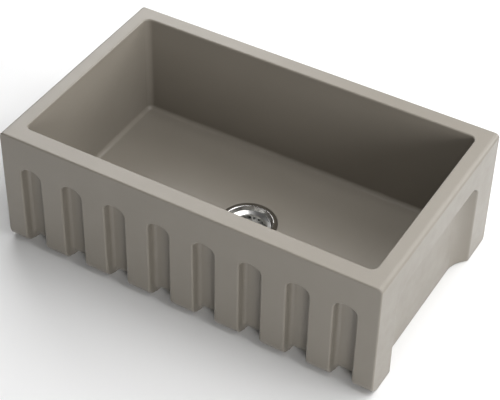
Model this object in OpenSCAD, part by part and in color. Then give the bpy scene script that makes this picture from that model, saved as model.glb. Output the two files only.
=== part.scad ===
// Farmhouse apron front sink with a fluted apron and a basket strainer waste.
// The origin is on the drain's axis, on the plane that the sink stands on.
// The apron faces -Y, and +Z is up. Lengths are in millimetres.

/* [Basin] */
// Overall width
body_w = 760; // [640:1:900]
// Overall depth, front to back
body_d = 461; // [400:1:560]
// Overall height
body_h = 254; // [225:1:300]
// Width of the rim at each side
rim_side = 31.5; // [29:0.5:50]
// Width of the rim behind the apron
rim_front = 36; // [32:0.5:60]
// Width of the rim at the back
rim_back = 31; // [20:0.5:60]
// Height of the bowl's floor above the underside
floor_h = 36; // [34:0.5:44]
// Radius of the bowl's upright corners
bowl_corner_r = 13; // [6:0.5:40]
// Radius where the bowl's walls meet its floor
bowl_floor_r = 9; // [4:0.5:25]
// Rounding of the rim's outer edge at the sides
edge_side_r = 9; // [4:0.5:12]
// Rounding of the rim's outer edge at the front
edge_front_r = 3.5; // [2:0.5:12]
// Rounding of the rim's outer edge at the back
edge_back_r = 3.5; // [2:0.5:12]
// Rounding of the outer upright corners
corner_r = 3.5; // [2:0.5:12]
// Rounding of the apron's lower edge
toe_r = 25; // [12:0.5:32]
// Rounding of the lower edge at the back
heel_r = 7; // [4:0.5:20]
// Rounding of the lower edges at the sides
foot_r = 2.5; // [1:0.5:6]

/* [Flutes] */
// Number of flutes in the apron
flute_n = 8; // [4:2:8]
// Width of a flute between its walls
flute_w = 42.5; // [30:0.5:50]
// Distance from flute to flute
flute_pitch = 91.75; // [70:0.25:95]
// How much closer the two end flutes stand to their neighbours
end_pitch_cut = 3; // [0:0.25:8]
// Depth of a flute
flute_depth = 20.5; // [8:0.5:24]
// Distance from the rim down to the top of a flute
flute_top = 65; // [40:1:120]
// Radius of the flute's top corners
flute_corner_r = 12.5; // [6:0.5:14]
// Radius of the flute's bowed crown
flute_crown_r = 26; // [22:0.5:60]
// Cove between a flute's wall and its floor
flute_cove_r = 8; // [2:0.5:12]
// Radius by which a flute turns under the apron
flute_turn_r = 28.5; // [20:0.5:36]
// Rounding of the ribs' upright edges
rib_r = 3.5; // [1:0.5:10]

/* [Side arches] */
// Depth of a side arch
arch_depth = 21.5; // [8:0.5:24]
// Distance from the rim down to the top of an arch
arch_top = 63; // [40:1:120]
// Length of the front leg
leg_front = 69.5; // [65:0.5:110]
// Length of the rear leg
leg_rear = 73; // [65:0.5:110]
// Radius of an arch's top corners
arch_corner_r = 36; // [15:0.5:50]
// Radius of the cove in front of the rear leg
jamb_r = 55; // [45:1:70]
// Radius by which an arch turns under the side
arch_turn_r = 3; // [1:0.5:20]

/* [Drain] */
// Radius of the drain hole
drain_r = 45; // [44.5:0.1:46]
// Depth of the seat for the strainer's flange
seat_depth = 3.2; // [2.5:0.1:5]
// Gap between the strainer's flange and the wall of its seat
seat_gap = 0.8; // [0.4:0.1:2]
// Radius of the flare at the top of the drain hole
drain_flare_r = 48.5; // [48:0.1:50]
// Depth of the flare at the top of the drain hole
drain_flare_depth = 6.5; // [6:0.5:9]
// Radius of the recess under the drain hole
under_r = 75; // [66:1:90]
// Depth of the recess under the drain hole
under_depth = 18; // [17:0.5:20]

/* [Strainer body] */
// Radius of the flange
flange_r = 55; // [52:0.5:58]
// Inner radius of the flange's flat ring
flange_flat_r = 47.3; // [45:0.1:49]
// How far the flange stands above the bowl's floor
flange_proud = 0.6; // [0.2:0.1:2]
// Outer radius of the strainer's cup
cup_r = 43.8; // [43:0.1:44.2]
// Wall of the strainer's cup
cup_wall = 1.6; // [1:0.1:2.4]
// Depth of the dished top of the cup, below its flange
dish_depth = 12; // [9:0.5:14]
// Depth of the cup
cup_depth = 48; // [44:0.5:56]
// Fall of the cup's bottom towards its outlet
cup_fall = 3; // [1:0.5:6]
// Outer radius of the flat land round the outlet
outlet_land_r = 30; // [29.5:0.1:34]
// Radius of the outlet's seat
outlet_seat_r = 20.5; // [18:0.5:22]

/* [Fasteners and seals] */
// Thickness of the seal under the flange
seal_t = 1.6; // [1:0.1:2.2]
// Radius of the rubber washer under the bowl
washer_r = 58; // [52:0.5:60]
// Thickness of the rubber washer
washer_t = 3; // [2:0.5:4]
// Radius of the fibre friction ring
ring_r = 56; // [50:0.5:58]
// Thickness of the fibre friction ring
ring_t = 1.2; // [0.8:0.1:2]
// Radius of the lock nut
nut_r = 53; // [50:0.5:56]
// Height of the lock nut
nut_h = 10; // [8:0.5:12]
// How far the lock nut's lugs stand out
nut_lug = 5; // [2:0.5:6]
// Width of a lock nut's lug
nut_lug_w = 14; // [8:0.5:20]
// Clearance between threaded pieces, at the radius
thread_gap = 0.2; // [0.1:0.05:0.4]

/* [Outlet] */
// Outer radius of the threaded outlet
outlet_r = 23.8; // [22.5:0.1:25]
// Bore radius of the threaded outlet
outlet_bore_r = 19.5; // [17:0.1:20]
// Length of the threaded outlet below the cup
outlet_len = 22; // [18:0.5:35]
// Radius of the outlet's fixing flange
outlet_flange_r = 29; // [27:0.5:34]
// Thickness of the outlet's fixing flange
outlet_flange_t = 2; // [1.5:0.5:4]
// Width of the cross bars in the outlet
cross_w = 4; // [3:0.5:6]
// Thickness of the cross bars
cross_t = 1.6; // [1:0.1:3]
// Outer radius of the cross's hub
cross_hub_r = 6.5; // [6:0.5:9]
// Outer radius of the tailpiece
tail_r = 19.05; // [16:0.05:19.2]
// Wall of the tailpiece
tail_wall = 1.2; // [0.8:0.1:2]
// Length of the tailpiece
tail_len = 100; // [60:1:300]
// Thickness of the tailpiece's flange
tail_flange_t = 1.5; // [1:0.1:2]
// Radius of the tailpiece's flange
tail_flange_r = 22.8; // [22:0.1:23.4]
// Thickness of the tail washer
tail_washer_t = 2; // [1:0.5:3]
// Height of the coupling nut
coupling_h = 19; // [15:0.5:26]
// Distance across the coupling nut's flats
coupling_af = 56; // [54:0.5:64]

/* [Basket] */
// Radius of the basket's rim
basket_rim_r = 43.2; // [42:0.1:44]
// Radius of the basket's mouth, inside its sloping rim
basket_mouth_r = 34.5; // [32:0.5:38]
// Fall of the basket's rim towards its mouth
basket_rim_fall = 4; // [2:0.5:6]
// Radius of the basket's bottom
basket_bottom_r = 27.5; // [25:0.5:30]
// Depth of the basket below its rim
basket_depth = 28; // [22:0.5:32]
// Sheet thickness of the basket
basket_t = 1.2; // [0.8:0.1:1.5]
// Number of holes in each row of the basket's wall
wall_hole_n = 22; // [10:1:24]
// Diameter of the holes in the basket's wall
wall_hole_d = 5; // [3:0.5:6]
// Number of holes in the bottom's outer ring
floor_hole_n = 16; // [8:1:20]
// Number of holes in the bottom's inner ring
floor_hole_inner_n = 10; // [6:1:12]
// Diameter of the holes in the basket's bottom
floor_hole_d = 4; // [2.5:0.5:5]

/* [Stopper] */
// Travel of the stopper, from closed to open
stopper_travel = 8; // [5:0.5:9]
// Radius of the stem
stem_r = 3; // [2.5:0.1:3.5]
// Outer radius of the collar in the basket
collar_r = 6; // [5.5:0.1:7]
// Height of the collar
collar_h = 22; // [16:0.5:24]
// Sliding clearance between the stem and its guides, at the radius
stem_gap = 0.08; // [0.05:0.01:0.1]
// Wire radius of the detent ring
detent_wire_r = 0.7; // [0.5:0.1:0.9]
// Radius of the knob
knob_r = 9; // [7:0.5:12]
// Height of the knob
knob_h = 12; // [9:0.5:14]
// Radius of the rubber stopper
stopper_r = 24.5; // [23:0.5:26]
// Thickness of the rubber stopper
stopper_t = 4; // [3:0.5:6]
// Radius of the plate above the rubber stopper
plate_r = 17; // [12:0.5:20]
// Thickness of the plate above the rubber stopper
plate_t = 1; // [0.8:0.1:1.5]

/* [Hidden] */

// Colours of the finishes
clay = [0.67, 0.64, 0.59];
steel = [0.80, 0.80, 0.79];
rubber = [0.13, 0.13, 0.13];
fibre = [0.62, 0.52, 0.38];

// Overrun that every cut runs past the faces it opens
over = 4;
// Rest clearance between a moving piece and its seat
rest_gap = 0.3;
// Clearance between pieces that are clamped or screwed together
fit_gap = 0.1;
// Smoothness of the round faces
$fn = 96;

// Planes of the basin, from the drain's axis at the bowl's centre
bowl_half = (body_d - rim_front - rim_back) / 2;
front_y = -bowl_half - rim_front;
back_y = front_y + body_d;
side_x = body_w / 2;
bowl_x = side_x - rim_side;
floor_z = floor_h;
flute_top_z = body_h - flute_top;
arch_top_z = body_h - arch_top;
arch_front_y = front_y + leg_front;
arch_rear_y = back_y - leg_rear;
flute_floor_y = front_y + flute_depth;
arch_floor_x = side_x - arch_depth;
cove_y = arch_rear_y - sqrt(jamb_r * jamb_r - pow(jamb_r - arch_depth, 2));

// Arcs of a flute's head: the corners run into the crown
flute_half = flute_w / 2;
crown_in = flute_half - flute_corner_r;
crown_drop = sqrt(pow(flute_crown_r - flute_corner_r, 2) - crown_in * crown_in);
shoulder_z = flute_top_z - flute_crown_r + crown_drop;
crown_angle = atan2(crown_in, crown_drop);

// Heights of the waste, from the bowl's floor down
seat_z = floor_z - seat_depth;
seal_top = seat_z + seal_t;
flange_top = floor_z + flange_proud;
flange_t = flange_top - seal_top;
ring_top = under_depth - washer_t;
nut_top = ring_top - ring_t;
cup_bore_r = cup_r - cup_wall;
cup_bottom = flange_top - cup_depth;
land_z = cup_bottom - cup_fall;
outlet_top = land_z - cup_wall;
outlet_end = outlet_top - outlet_flange_t - outlet_len;
tail_top = outlet_end - tail_washer_t;
tail_bore_r = tail_r - tail_wall;
coupling_lip = 2.5;
coupling_play = 0.95;
coupling_z = tail_top - tail_flange_t - coupling_lip;

// Slope of the dish that carries the basket's rim
dish_z = flange_top - dish_depth;
dish_slope_share = (flange_flat_r - cup_bore_r) / dish_depth;
dish_back_r = flange_flat_r + cup_wall - flange_t * dish_slope_share;
dish_gap_z = rest_gap * sqrt(1 + pow(dish_slope_share, 2)) / dish_slope_share;
basket_rim_z = dish_z + (basket_rim_r - cup_bore_r) / dish_slope_share + dish_gap_z;
basket_top = basket_rim_z + basket_t;
basket_floor = basket_rim_z - basket_depth;
collar_z = basket_floor + basket_t;
collar_top = collar_z + collar_h;
collar_flange_r = collar_r + 3 * basket_t;

// Rows of holes in the basket
wall_row_share = [0.3, 0.6];
floor_ring_share = [0.81, 0.52];

// Heights of the stopper at rest, closed on the outlet's land
stopper_z = land_z + rest_gap;
plate_z = stopper_z + stopper_t;
stopper_taper = 1;
stem_washer_t = 1;
stem_washer_r = 8;
stem_nut_h = 4;
stem_nut_af = 11;
stem_washer_z = stopper_z - stem_washer_t;
stem_nut_z = stem_washer_z - stem_nut_h;
stem_tip = 14;
stem_z = stem_nut_z - stem_tip;
knob_gap = 1.5;
knob_z = collar_top + knob_gap;
knob_bore = 6;
knob_neck_r = 5.5;
knob_neck_h = 4;
knob_edge_r = 2.5;
stem_top = knob_z + knob_bore;
guide_r = stem_r + stem_gap;

// The cross sits just under the stem's nut
cross_gap = 1.5;
cross_top = stem_nut_z - cross_gap;
cross_hub_h = 5;
cross_ring_h = 5;

// The detent ring clicks into two grooves in the stem
detent_z = collar_z + collar_h / 2;
detent_seat_r = guide_r + detent_wire_r;
detent_play = 0.3;
detent_groove_r = 1.1;

// Rectangle whose corners are rounded, each by its own radius
// The radii run from the lower left to the lower right, the upper right and the upper left
module rounded_box(lo, hi, radii) {
    difference() {
        translate(lo) square(hi - lo);
        corner_cut([lo[0], lo[1]], [1, 1], radii[0]);
        corner_cut([hi[0], lo[1]], [-1, 1], radii[1]);
        corner_cut([hi[0], hi[1]], [-1, -1], radii[2]);
        corner_cut([lo[0], hi[1]], [1, -1], radii[3]);
    }
}

// What a radius takes off a corner whose sides run along dir
module corner_cut(at, dir, r) {
    if (r > 0) translate(at) mirror([dir[0] < 0 ? 1 : 0, 0]) mirror([0, dir[1] < 0 ? 1 : 0])
        difference() {
            translate([-over, -over]) square(r + over);
            translate([r, r]) circle(r);
        }
}

// Bar along X of a profile drawn in Y and Z
module along_x(x0, x1) {
    translate([x0, 0, 0]) rotate([90, 0, 90]) linear_extrude(x1 - x0) children();
}

// Bar along Y of a profile drawn in X and Z
module along_y(y0, y1) {
    translate([0, y1, 0]) rotate([90, 0, 0]) linear_extrude(y1 - y0) children();
}

// Bar along Z of a profile drawn in X and Y
module along_z(z0, z1) {
    translate([0, 0, z0]) linear_extrude(z1 - z0) children();
}

// Tube between two radii and two heights
module tube(r_out, r_in, z0, z1) {
    translate([0, 0, z0]) difference() {
        cylinder(r = r_out, h = z1 - z0);
        translate([0, 0, -over]) cylinder(r = r_in, h = z1 - z0 + 2 * over);
    }
}

// The block that the basin is cut from
module outer_block() {
    intersection() {
        along_x(-side_x - over, side_x + over)
            rounded_box([front_y, 0], [back_y, body_h], [toe_r, heel_r, edge_back_r, edge_front_r]);
        along_y(front_y - over, back_y + over)
            rounded_box([-side_x, 0], [side_x, body_h], [foot_r, foot_r, edge_side_r, edge_side_r]);
        along_z(-over, body_h + over)
            rounded_box([-side_x, front_y], [side_x, back_y], [corner_r, corner_r, corner_r, corner_r]);
    }
}

module bowl_space() {
    top = body_h + over;
    intersection() {
        along_x(-side_x, side_x)
            rounded_box([-bowl_half, floor_z], [bowl_half, top], [bowl_floor_r, bowl_floor_r, 0, 0]);
        along_y(front_y, back_y)
            rounded_box([-bowl_x, floor_z], [bowl_x, top], [bowl_floor_r, bowl_floor_r, 0, 0]);
        along_z(0, top)
            rounded_box([-bowl_x, -bowl_half], [bowl_x, bowl_half],
                        [bowl_corner_r, bowl_corner_r, bowl_corner_r, bowl_corner_r]);
    }
}

// Where flute number i stands: the two end flutes are a little closer to their neighbours
function flute_x(i) =
    let (k = i - (flute_n - 1) / 2, at_end = i == 0 || i == flute_n - 1)
    k * flute_pitch - (at_end ? sign(k) * end_pitch_cut : 0);

// Repeats a cut at every flute
module at_flutes() {
    for (i = [0 : flute_n - 1]) translate([flute_x(i), 0, 0]) children();
}

// Turns a profile along an arc of a flute's head, in the plane of the apron
module head_turn(start, sweep) {
    rotate([90, 0, 0]) rotate(start) rotate_extrude(angle = sweep) children();
}

// Profile from the middle of a head's arc out to its wall
module head_section(r) {
    rounded_box([0, 0], [r, flute_depth + over], [0, flute_cove_r, 0, 0]);
}

// Section across a flute, outwards from its floor, with coves at the corners
module flute_section(reach) {
    rounded_box([0, -flute_half], [reach, flute_half], [flute_cove_r, 0, 0, flute_cove_r]);
}

// One flute: its floor runs down and turns under the apron
module flute_cut() {
    translate([0, flute_floor_y, 0]) along_z(flute_turn_r, shoulder_z)
        rotate(-90) flute_section(flute_depth + over);
    translate([0, flute_floor_y + flute_turn_r, flute_turn_r])
        rotate([90, 0, 90]) rotate(180) rotate_extrude(angle = 90)
            translate([flute_turn_r, 0]) flute_section(flute_depth + flute_turn_r);
    for (s = [0, 1]) mirror([s, 0, 0]) translate([crown_in, flute_floor_y, shoulder_z])
        head_turn(0, 90 - crown_angle) head_section(flute_corner_r);
    translate([0, flute_floor_y, shoulder_z - crown_drop])
        head_turn(90 - crown_angle, 2 * crown_angle) head_section(flute_crown_r);
}

// Rounding of the upright edges of the ribs beside a flute
module rib_edges() {
    for (s = [0, 1]) mirror([s, 0, 0])
        along_z(toe_r, shoulder_z) corner_cut([flute_half, front_y], [1, 1], rib_r);
}

// The same rounding, carried under the apron's toe
module toe_edges() {
    for (s = [0, 1]) mirror([s, 0, 0]) translate([0, front_y + toe_r, toe_r])
        rotate([90, 0, 90]) rotate(180) rotate_extrude(angle = 90)
            corner_cut([toe_r, flute_half], [-1, 1], rib_r);
}

// The same rounding, carried round the corners of a flute's head
module shoulder_edges() {
    for (s = [0, 1]) mirror([s, 0, 0])
        translate([crown_in, front_y, shoulder_z]) head_turn(0, 90 - crown_angle)
            corner_cut([flute_corner_r, 0], [1, -1], rib_r);
}

// The same rounding, carried over a flute's crown
module crown_edge() {
    translate([0, front_y, shoulder_z - crown_drop])
        head_turn(90 - crown_angle, 2 * crown_angle) corner_cut([flute_crown_r, 0], [1, -1], rib_r);
}

// Section across a side arch, outwards from its floor: the rear leg grows out of a long cove
module arch_section(reach) {
    rounded_box([0, arch_front_y], [reach, cove_y], [flute_cove_r, 0, 0, 0]);
    intersection() {
        translate([jamb_r, cove_y]) circle(jamb_r);
        translate([0, cove_y - over]) square([reach, jamb_r + 2 * over]);
    }
}

// The arch in the right-hand side: its floor runs down and turns under the side
module arch_cut() {
    turn_reach = sqrt(pow(arch_turn_r + arch_depth, 2) + pow(arch_turn_r, 2)) - arch_turn_r + over;
    intersection() {
        translate([arch_floor_x, 0, 0]) along_z(arch_turn_r, body_h) arch_section(arch_depth + over);
        along_x(arch_floor_x - over, side_x + 2 * over)
            rounded_box([arch_front_y, -over], [arch_rear_y, arch_top_z],
                        [0, 0, arch_corner_r, arch_corner_r]);
    }
    translate([arch_floor_x - arch_turn_r, 0, arch_turn_r])
        rotate([-90, 0, 0]) rotate_extrude(angle = 90)
            translate([arch_turn_r, 0]) arch_section(turn_reach);
}

// The drain hole, the seat for its flange and the recess under it
module drain_cut() {
    translate([0, 0, seat_z]) cylinder(r = flange_r + seat_gap, h = seat_depth + over);
    translate([0, 0, seat_z - drain_flare_depth])
        cylinder(r1 = drain_r, r2 = drain_flare_r, h = drain_flare_depth);
    cylinder(r = drain_r, h = floor_z);
    translate([0, 0, -over]) cylinder(r = under_r, h = under_depth + over);
}

module sink_basin() {
    color(clay) difference() {
        outer_block();
        bowl_space();
        drain_cut();
        at_flutes() flute_cut();
        at_flutes() rib_edges();
        at_flutes() toe_edges();
        at_flutes() shoulder_edges();
        at_flutes() crown_edge();
        for (s = [0, 1]) mirror([s, 0, 0]) arch_cut();
    }
}

module flange_seal() {
    color(rubber) tube(flange_r, drain_flare_r, seat_z, seal_top);
}

module strainer_body() {
    edge_r = flange_t / 2;
    color(steel) rotate_extrude() difference() {
        polygon([
            [flange_flat_r, flange_top], [flange_r, flange_top],
            [flange_r, seal_top], [dish_back_r, seal_top],
            [cup_r, dish_z], [cup_r, cup_bottom - cup_wall],
            [outlet_land_r, outlet_top], [outlet_seat_r, outlet_top],
            [outlet_seat_r, land_z], [outlet_land_r, land_z],
            [cup_bore_r, cup_bottom], [cup_bore_r, dish_z]
        ]);
        corner_cut([flange_r, flange_top], [-1, -1], edge_r);
    }
}

module outlet_spud() {
    color(steel) {
        tube(outlet_flange_r, outlet_bore_r, outlet_top - outlet_flange_t, outlet_top);
        tube(outlet_r, outlet_bore_r, outlet_end, outlet_top - outlet_flange_t);
    }
}

module outlet_cross() {
    ring_r_out = outlet_bore_r - fit_gap;
    color(steel) difference() {
        union() {
            tube(ring_r_out, ring_r_out - cross_t, cross_top - cross_ring_h, cross_top);
            translate([0, 0, cross_top - cross_hub_h]) cylinder(r = cross_hub_r, h = cross_hub_h);
            for (a = [0, 90]) rotate(a)
                translate([-ring_r_out + cross_t / 2, -cross_w / 2, cross_top - cross_t])
                    cube([2 * ring_r_out - cross_t, cross_w, cross_t]);
        }
        translate([0, 0, cross_top - cross_hub_h - over]) cylinder(r = guide_r, h = cross_hub_h + 2 * over);
    }
}

module sealing_washer() {
    color(rubber) tube(washer_r, cup_r + thread_gap, ring_top, under_depth);
}

module friction_ring() {
    color(fibre) tube(ring_r, cup_r + thread_gap, nut_top, ring_top);
}

module lock_nut() {
    color(steel) difference() {
        union() {
            translate([0, 0, nut_top - nut_h]) cylinder(r = nut_r, h = nut_h);
            for (a = [0 : 90 : 270]) rotate(a)
                translate([0, -nut_lug_w / 2, nut_top - nut_h]) cube([nut_r + nut_lug, nut_lug_w, nut_h]);
        }
        translate([0, 0, nut_top - nut_h - over]) cylinder(r = cup_r + thread_gap, h = nut_h + 2 * over);
    }
}

module tail_washer() {
    color(rubber) tube(tail_flange_r, tail_bore_r, tail_top, outlet_end);
}

module tailpiece() {
    color(steel) {
        tube(tail_flange_r, tail_bore_r, tail_top - tail_flange_t, tail_top);
        tube(tail_r, tail_bore_r, tail_top - tail_len, tail_top - tail_flange_t);
    }
}

module coupling_nut() {
    color(steel) difference() {
        translate([0, 0, coupling_z]) cylinder(d = coupling_af / cos(30), h = coupling_h, $fn = 6);
        translate([0, 0, coupling_z + coupling_lip]) cylinder(r = outlet_r + thread_gap, h = coupling_h);
        translate([0, 0, coupling_z - over]) cylinder(r = tail_r + coupling_play, h = coupling_h);
    }
}

module basket_cup() {
    color(steel) difference() {
        rotate_extrude() polygon([
            [basket_rim_r, basket_rim_z], [basket_rim_r, basket_top],
            [basket_mouth_r, basket_top - basket_rim_fall],
            [basket_bottom_r, collar_z], [collar_r, collar_z], [collar_r, basket_floor],
            [basket_bottom_r + basket_t, basket_floor],
            [basket_mouth_r + basket_t, basket_rim_z - basket_rim_fall]
        ]);
        for (row = [0, 1], i = [0 : wall_hole_n - 1])
            rotate((i + row / 2) * 360 / wall_hole_n)
                translate([basket_bottom_r / 2, 0, basket_rim_z - wall_row_share[row] * basket_depth])
                    rotate([0, 90, 0]) cylinder(d = wall_hole_d, h = basket_rim_r);
        ring_holes(floor_hole_n, basket_bottom_r * floor_ring_share[0]);
        ring_holes(floor_hole_inner_n, basket_bottom_r * floor_ring_share[1]);
    }
}

// A ring of holes through the basket's bottom
module ring_holes(n, r) {
    for (i = [0 : n - 1]) rotate(i * 360 / n)
        translate([r, 0, basket_floor - over]) cylinder(d = floor_hole_d, h = basket_t + 2 * over);
}

module basket_collar() {
    groove_r = detent_seat_r + detent_wire_r + detent_play;
    groove_h = detent_wire_r + detent_play;
    color(steel) rotate_extrude() polygon([
        [guide_r, basket_floor], [collar_r - fit_gap, basket_floor],
        [collar_r - fit_gap, collar_z], [collar_flange_r, collar_z],
        [collar_flange_r, collar_z + basket_t], [collar_r, collar_z + basket_t],
        [collar_r, collar_top], [guide_r, collar_top],
        [guide_r, detent_z + groove_h], [groove_r, detent_z + groove_h],
        [groove_r, detent_z - groove_h], [guide_r, detent_z - groove_h]
    ]);
}

// Torus about the drain's axis
module hoop(r, wire, z) {
    translate([0, 0, z]) rotate_extrude() translate([r, 0]) circle(wire);
}

module detent_ring() {
    color(steel) hoop(detent_seat_r, detent_wire_r, detent_z);
}

module stem() {
    color(steel) difference() {
        translate([0, 0, stem_z]) cylinder(r = stem_r, h = stem_top - stem_z);
        for (z = [detent_z, detent_z - stopper_travel]) hoop(detent_seat_r, detent_groove_r, z);
    }
}

module knob() {
    color(steel) difference() {
        rotate_extrude() difference() {
            union() {
                translate([0, knob_z]) square([knob_neck_r, knob_h / 2]);
                translate([0, knob_z + knob_neck_h])
                    rounded_box([-knob_r, 0], [knob_r, knob_h - knob_neck_h],
                                [knob_edge_r, knob_edge_r, knob_edge_r, knob_edge_r]);
            }
            translate([-knob_r - over, knob_z - over]) square([knob_r + over, knob_h + 2 * over]);
        }
        translate([0, 0, knob_z - over]) cylinder(r = stem_r + fit_gap, h = knob_bore + over);
    }
}

module stopper_plate() {
    color(steel) tube(plate_r, stem_r + fit_gap, plate_z, plate_z + plate_t);
}

module stopper_seal() {
    color(rubber) rotate_extrude() polygon([
        [stem_r + fit_gap, stopper_z], [stopper_r - stopper_taper, stopper_z],
        [stopper_r, stopper_z + stopper_taper], [stopper_r, plate_z],
        [stem_r + fit_gap, plate_z]
    ]);
}

module stem_washer() {
    color(steel) tube(stem_washer_r, stem_r + fit_gap, stem_washer_z, stopper_z);
}

module stem_nut() {
    color(steel) difference() {
        translate([0, 0, stem_nut_z]) cylinder(d = stem_nut_af / cos(30), h = stem_nut_h, $fn = 6);
        translate([0, 0, stem_nut_z - over]) cylinder(r = stem_r + fit_gap, h = stem_nut_h + 2 * over);
    }
}

sink_basin();
flange_seal();
strainer_body();
outlet_spud();
outlet_cross();
sealing_washer();
friction_ring();
lock_nut();
tail_washer();
coupling_nut();
tailpiece();
basket_cup();
basket_collar();
detent_ring();
stem();
knob();
stopper_plate();
stopper_seal();
stem_washer();
stem_nut();
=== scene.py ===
"""Farmhouse sink with a fluted apron, arched sides and a basket strainer.

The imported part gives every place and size. The pieces that want finer forms are
modelled here in their solids' places, and the others get their finishes only.
"""

import math

import bmesh
import bpy
from bpy.props import FloatProperty, FloatVectorProperty, IntProperty, PointerProperty
from mathutils import Matrix, Vector


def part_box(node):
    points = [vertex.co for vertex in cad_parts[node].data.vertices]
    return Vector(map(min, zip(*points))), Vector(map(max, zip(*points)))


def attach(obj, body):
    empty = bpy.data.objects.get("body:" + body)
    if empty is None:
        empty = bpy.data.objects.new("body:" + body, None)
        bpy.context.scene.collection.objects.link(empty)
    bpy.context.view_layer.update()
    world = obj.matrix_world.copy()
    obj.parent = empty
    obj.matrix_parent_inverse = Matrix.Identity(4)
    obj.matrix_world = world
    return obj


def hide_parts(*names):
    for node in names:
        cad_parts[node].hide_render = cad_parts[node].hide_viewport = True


bl_info = {
    "name": "Fluted Farmhouse Sink",
    "version": (1, 0, 0),
    "blender": (4, 2, 0),
    "location": "View3D > Sidebar > Sink",
    "description": "Models a fluted farmhouse sink with its basket strainer",
    "category": "Add Mesh",
}

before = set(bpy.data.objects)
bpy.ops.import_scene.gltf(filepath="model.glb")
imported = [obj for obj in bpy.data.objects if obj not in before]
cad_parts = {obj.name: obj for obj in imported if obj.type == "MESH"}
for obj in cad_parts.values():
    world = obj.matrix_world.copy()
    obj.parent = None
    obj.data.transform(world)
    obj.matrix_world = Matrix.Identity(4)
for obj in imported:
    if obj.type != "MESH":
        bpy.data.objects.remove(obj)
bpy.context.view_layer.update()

BASIN_LOW, BASIN_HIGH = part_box("sink_basin")
STRAINER_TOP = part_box("strainer_body")[1].z
NUT_LOW, NUT_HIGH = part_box("lock_nut")
SPUD_LOW, SPUD_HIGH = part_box("outlet_spud")
COUPLING_LOW, COUPLING_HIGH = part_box("coupling_nut")
TAIL_LOW, TAIL_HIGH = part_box("tailpiece")
BASKET_LOW, BASKET_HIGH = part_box("basket_cup")
COLLAR_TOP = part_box("basket_collar")[1].z
STEM_LOW, STEM_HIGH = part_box("stem")
KNOB_LOW, KNOB_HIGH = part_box("knob")
STOPPER_LOW, STOPPER_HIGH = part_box("stopper_seal")

# Vertices this close are one. Cutting tools run this far past what they cut.
MERGE = 1e-6
REACH = 0.02


def length(default, text=""):
    """A length that the user may change, in metres."""
    return FloatProperty(description=text, default=default, min=0, unit="LENGTH", precision=5)


def place(default, text=""):
    """A coordinate that the user may change, in metres."""
    return FloatProperty(description=text, default=default, unit="LENGTH", precision=5)


def fillet(default):
    """The rounding of an edge or corner, which its name tells."""
    return length(default, "Radius of the rounding")


def power(default):
    """A light's power, shown in the panel."""
    return FloatProperty(default=default, min=0, unit="POWER")


def tint(*colour):
    """A linear colour that the user may change."""
    return FloatVectorProperty(default=colour, size=3, min=0, max=1, subtype="COLOR")


class BasinSizes(bpy.types.PropertyGroup):
    """Sizes of the fireclay basin: a rim's size is its width."""

    rim_side: length(0.0315)
    rim_front: length(0.036)
    rim_back: length(0.031)
    rim_round: length(0.009, "Rounding of the rim at the sides")
    lip_round: length(0.003, "Rounding of the rim's inner edge")
    corner_round: length(0.003, "Rounding of the other outer edges")
    toe_round: fillet(0.025)
    heel_round: fillet(0.007)
    floor_height: length(0.036)
    bowl_corner: fillet(0.013)
    bowl_cove: length(0.009, "Rounding round the bowl's floor")
    flute_count: IntProperty(default=8, min=2, max=16)
    flute_pitch: length(0.09175)
    flute_end_shift: length(0.003, "Shift of the outer flutes inwards")
    flute_width: length(0.0425)
    flute_depth: length(0.0205)
    flute_shoulder: length(0.17328, "Height where a flute's head begins")
    flute_head: length(0.01572, "Height of a flute's head")
    flute_cove: fillet(0.008)
    rib_round: fillet(0.0035)
    flute_turn: length(0.0285, "Radius of the flutes' turn under the apron")
    arch_front: place(-0.1635)
    arch_back: place(0.155)
    arch_top: length(0.191)
    arch_depth: length(0.0215)
    arch_corner: fillet(0.036)
    arch_cove: length(0.055, "Radius of the arches' rear jamb")
    arch_front_cove: fillet(0.008)
    arch_nib: length(0.0025, "How far the jamb cuts the rear corner's arc short")
    drain_radius: length(0.045)
    drain_flare: length(0.0485, "Drain radius at the seat")
    drain_flare_depth: length(0.0065)
    seat_radius: length(0.0558)
    seat_depth: length(0.0032)
    recess_radius: length(0.075)
    recess_depth: length(0.018)
    recess_round: fillet(0.004)
    recess_edge: fillet(0.002)
    seat_edge: fillet(0.001)


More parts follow.
